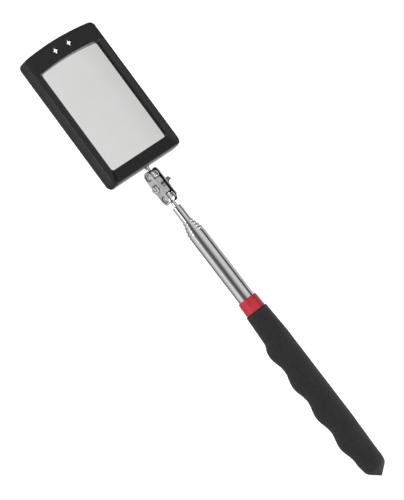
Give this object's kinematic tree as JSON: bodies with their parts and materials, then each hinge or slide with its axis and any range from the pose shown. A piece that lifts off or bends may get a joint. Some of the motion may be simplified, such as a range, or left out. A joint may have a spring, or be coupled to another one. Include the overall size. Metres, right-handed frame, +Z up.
{
  "type": "telescoping inspection mirror",
  "caption": "Rectangular lighted mirror on a double-ball swivel and a telescoping chromed tube with a finger-shaped foam grip.",
  "frame": {"origin": "centre of the object's footprint box, on the surface that it lies on", "axes": "+X from the mirror head along the handle to the grip's nose, +Z up, out of the mirror's face"},
  "size_m": [0.2892, 0.052, 0.0167],
  "materials": {
    "head_plastic": "satin black moulded ABS",
    "mirror": "polished silvered glass",
    "foam_tape": "dark foam tape",
    "led_lens": "clear epoxy",
    "circuit_board": "green solder mask",
    "dark_part": "black moulded plastic",
    "cell_steel": "satin nickel-plated steel",
    "brass": "brass sheet and bar",
    "switch_steel": "plated steel can",
    "black_screw": "black oxide steel",
    "bright_screw": "bright plated steel",
    "red_wire": "PVC insulation",
    "white_wire": "PVC insulation",
    "black_wire": "PVC insulation",
    "chrome": "polished plated steel",
    "plate_steel": "satin nickel-plated steel",
    "chrome_tube": "polished chrome",
    "red_plastic": "glossy red moulded plastic",
    "grip_foam": "matte black closed-cell foam"
  },
  "bodies": {
    "handle": {"main_tube": "chrome_tube", "collar": "red_plastic", "foam_grip": "grip_foam", "end_plug": "dark_part"},
    "tube_4": {"tube_4": "chrome_tube", "sleeve_4": "brass"},
    "tube_3": {"tube_3": "chrome_tube", "sleeve_3": "brass"},
    "tube_2": {"tube_2": "chrome_tube", "sleeve_2": "brass"},
    "tube_1": {"tube_1": "chrome_tube", "sleeve_1": "brass"},
    "lower_stud": {"lower_stud": "chrome"},
    "lower_ball": {"lower_ball": "chrome"},
    "link": {"link_plate_left": "plate_steel", "link_plate_right": "plate_steel", "clamp_washer": "plate_steel", "clamp_nut": "bright_screw"},
    "clamp_screw": {"clamp_screw": "bright_screw"},
    "upper_ball": {"upper_ball": "chrome"},
    "upper_stud": {"upper_stud": "chrome"},
    "head": {"head_bezel": "head_plastic", "head_back_cover": "head_plastic", "stud_insert": "brass", "case_screw_1": "black_screw", "case_screw_2": "black_screw", "case_screw_3": "black_screw", "case_screw_4": "black_screw", "mirror_glass": "mirror", "mirror_backing_pad": "foam_tape", "led_left": "led_lens", "led_right": "led_lens", "led_board": "circuit_board", "led_resistor": "dark_part", "battery_1": "cell_steel", "battery_2": "cell_steel", "contact_positive": "brass", "contact_negative": "brass", "contact_bridge": "brass", "switch_body": "switch_steel", "wire_red": "red_wire", "wire_white": "white_wire", "wire_black": "black_wire"},
    "switch_knob": {"switch_knob": "dark_part"},
    "battery_door": {"battery_door": "head_plastic", "battery_door_screw": "black_screw"}
  },
  "joints": [
    {"name": "tube_4_slide", "type": "slide", "parent": "handle", "child": "tube_4", "axis": [-0.9996, 0, -0.0297], "range_m": [0, 0.145]},
    {"name": "tube_3_slide", "type": "slide", "parent": "tube_4", "child": "tube_3", "axis": [-0.9996, 0, -0.0297], "range_m": [0, 0.145]},
    {"name": "tube_2_slide", "type": "slide", "parent": "tube_3", "child": "tube_2", "axis": [-0.9996, 0, -0.0297], "range_m": [0, 0.145]},
    {"name": "tube_1_slide", "type": "slide", "parent": "tube_2", "child": "tube_1", "axis": [-0.9996, 0, -0.0297], "range_m": [0, 0.145]},
    {"name": "lower_ball_roll", "type": "hinge", "parent": "tube_1", "child": "lower_stud", "pos_m": [-0.04081, 0, 0.00468], "axis": [-0.9996, 0, -0.0297], "continuous": true},
    {"name": "lower_ball_yaw", "type": "hinge", "parent": "lower_stud", "child": "lower_ball", "pos_m": [-0.04081, 0, 0.00468], "axis": [-0.0297, 0, 0.9996], "range_deg": [-12, 12]},
    {"name": "lower_ball_pitch", "type": "hinge", "parent": "lower_ball", "child": "link", "pos_m": [-0.04081, 0, 0.00468], "axis": [0, 1, 0], "range_deg": [-90, 90]},
    {"name": "clamp_screw_turn", "type": "hinge", "parent": "link", "child": "clamp_screw", "pos_m": [-0.04801, 0, 0.00446], "axis": [0, 1, 0], "continuous": true},
    {"name": "upper_ball_pitch", "type": "hinge", "parent": "link", "child": "upper_ball", "pos_m": [-0.05521, 0, 0.00425], "axis": [0, -1, 0], "range_deg": [-90, 90]},
    {"name": "upper_ball_yaw", "type": "hinge", "parent": "upper_ball", "child": "upper_stud", "pos_m": [-0.05521, 0, 0.00425], "axis": [0, 0, 1], "range_deg": [-12, 12]},
    {"name": "upper_ball_roll", "type": "hinge", "parent": "upper_stud", "child": "head", "pos_m": [-0.05521, 0, 0.00425], "axis": [-1, 0, 0], "continuous": true},
    {"name": "switch_slide", "type": "slide", "parent": "head", "child": "switch_knob", "axis": [-1, 0, 0], "range_m": [0, 0.002]},
    {"name": "battery_door_off", "type": "slide", "parent": "head", "child": "battery_door", "axis": [0, 0, -1], "range_m": [0, 0.012]}
  ]
}
